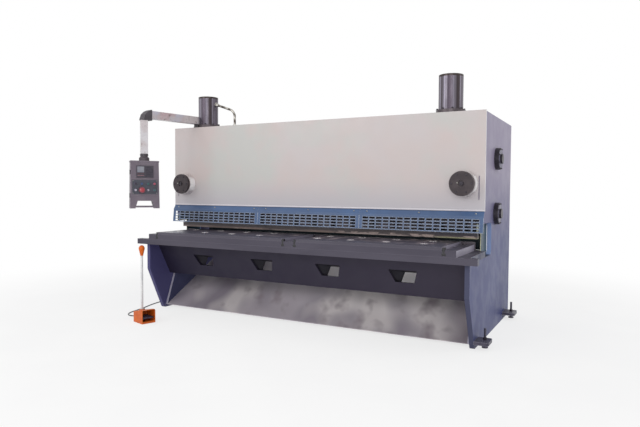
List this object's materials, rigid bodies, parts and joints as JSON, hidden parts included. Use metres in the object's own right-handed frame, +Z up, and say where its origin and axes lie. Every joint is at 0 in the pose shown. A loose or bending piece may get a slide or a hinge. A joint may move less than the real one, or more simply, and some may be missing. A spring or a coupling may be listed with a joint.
{
  "type": "hydraulic guillotine shear",
  "caption": "Floor-standing hydraulic guillotine shear: table, finger guard, raked blade on a ram, hold-down bar, pendant control on a swing arm and foot switch on a cable.",
  "frame": {"origin": "centre of the machine's footprint box at floor level, without the foot switch and its cable", "axes": "+X along the blades towards the right end seen from the front, +Y from front to back, +Z up"},
  "size_m": [3.7931, 2.3067, 2.362],
  "materials": {
    "back_gauge": "machined steel",
    "ball_transfers": "polished balls in zinc cups",
    "cable_gland": "black nylon",
    "chute_plate": "mottled mill-finish sheet",
    "control_box": "grey-mauve paint",
    "control_buttons": "dark plate with coloured buttons",
    "control_screen": "dark screen and keypad",
    "crown_plate": "grey-violet machine paint, satin",
    "cylinder_left": "ground and polished steel",
    "cylinder_right": "ground and polished steel",
    "front_guide_caps": "dark brown-grey cap",
    "front_panel": "warm off-white paint, satin",
    "guard_left": "mid-blue paint, satin",
    "guard_middle": "mid-blue paint, satin",
    "guard_right": "mid-blue paint, satin",
    "gussets": "grey-violet machine paint, satin",
    "hold_down_bar": "machined steel",
    "hold_down_cylinders": "machined steel",
    "hydraulic_pipe": "bent steel pipe",
    "levelling_feet_left": "grey-violet machine paint, satin",
    "levelling_feet_right": "grey-violet machine paint, satin",
    "lower_blade": "machined steel",
    "oil_tank": "grey-violet machine paint, satin",
    "pedal_cable": "black rubber sheath",
    "pedal_housing": "orange enamel",
    "pedal_knob": "red-orange plastic",
    "pedal_post": "machined steel",
    "pedal_treadle": "dark ribbed plate",
    "pendant_arm": "silver-grey square tube",
    "pendant_base": "dark brown-grey cap",
    "pendant_drop": "silver-grey square tube",
    "pendant_elbow": "dark brown-grey cap",
    "press_beam": "grey-violet machine paint, satin",
    "pump_motor": "grey-violet machine paint, satin",
    "ram_beam": "grey-violet machine paint, satin",
    "rear_tie_beam": "grey-violet machine paint, satin",
    "side_guide_caps": "dark brown-grey cap",
    "side_plate_left": "grey-violet machine paint, satin",
    "side_plate_right": "grey-violet machine paint, satin",
    "table_beam": "very dark grey paint",
    "table_bed": "dark grey machine paint, satin",
    "table_pads": "dark grey machine paint, satin",
    "table_top_plate": "dark grey machine paint, satin",
    "upper_blade": "machined steel"
  },
  "bodies": {
    "frame": {"back_gauge": "back_gauge", "ball_transfers": "ball_transfers", "cable_gland": "cable_gland", "chute_plate": "chute_plate", "crown_plate": "crown_plate", "cylinder_left": "cylinder_left", "cylinder_right": "cylinder_right", "front_guide_caps": "front_guide_caps", "front_panel": "front_panel", "guard_left": "guard_left", "guard_middle": "guard_middle", "guard_right": "guard_right", "gussets": "gussets", "hold_down_cylinders": "hold_down_cylinders", "hydraulic_pipe": "hydraulic_pipe", "levelling_feet_left": "levelling_feet_left", "levelling_feet_right": "levelling_feet_right", "lower_blade": "lower_blade", "oil_tank": "oil_tank", "pedal_cable": "pedal_cable", "pedal_housing": "pedal_housing", "pedal_knob": "pedal_knob", "pedal_post": "pedal_post", "pendant_base": "pendant_base", "press_beam": "press_beam", "pump_motor": "pump_motor", "rear_tie_beam": "rear_tie_beam", "side_guide_caps": "side_guide_caps", "side_plate_left": "side_plate_left", "side_plate_right": "side_plate_right", "table_beam": "table_beam", "table_bed": "table_bed", "table_pads": "table_pads", "table_top_plate": "table_top_plate"},
    "ram": {"ram_beam": "ram_beam", "upper_blade": "upper_blade"},
    "hold_down": {"hold_down_bar": "hold_down_bar"},
    "pendant": {"pendant_arm": "pendant_arm", "pendant_elbow": "pendant_elbow"},
    "control": {"pendant_drop": "pendant_drop", "control_box": "control_box", "control_screen": "control_screen", "control_buttons": "control_buttons"},
    "treadle": {"pedal_treadle": "pedal_treadle"}
  },
  "joints": [
    {"name": "ram_stroke", "type": "slide", "parent": "frame", "child": "ram", "axis": [0, 0, 1], "range_m": [-0.115, 0]},
    {"name": "hold_down_stroke", "type": "slide", "parent": "frame", "child": "hold_down", "axis": [0, 0, 1], "range_m": [-0.026, 0]},
    {"name": "pendant_swing", "type": "hinge", "parent": "frame", "child": "pendant", "pos_m": [-1.465, -0.255, 2.092], "axis": [0, 0, 1], "range_deg": [-60, 45]},
    {"name": "box_swivel", "type": "hinge", "parent": "pendant", "child": "control", "pos_m": [-1.60001, -0.90411, 2.045], "axis": [0, 0, 1], "range_deg": [-120, 60]},
    {"name": "treadle_press", "type": "hinge", "parent": "frame", "child": "treadle", "pos_m": [-1.41208, -1.13414, 0.051], "axis": [0.2924, 0.9563, 0], "range_deg": [0, 8], "stiffness_Nm_per_rad": 25, "springref_deg": -4.58}
  ]
}
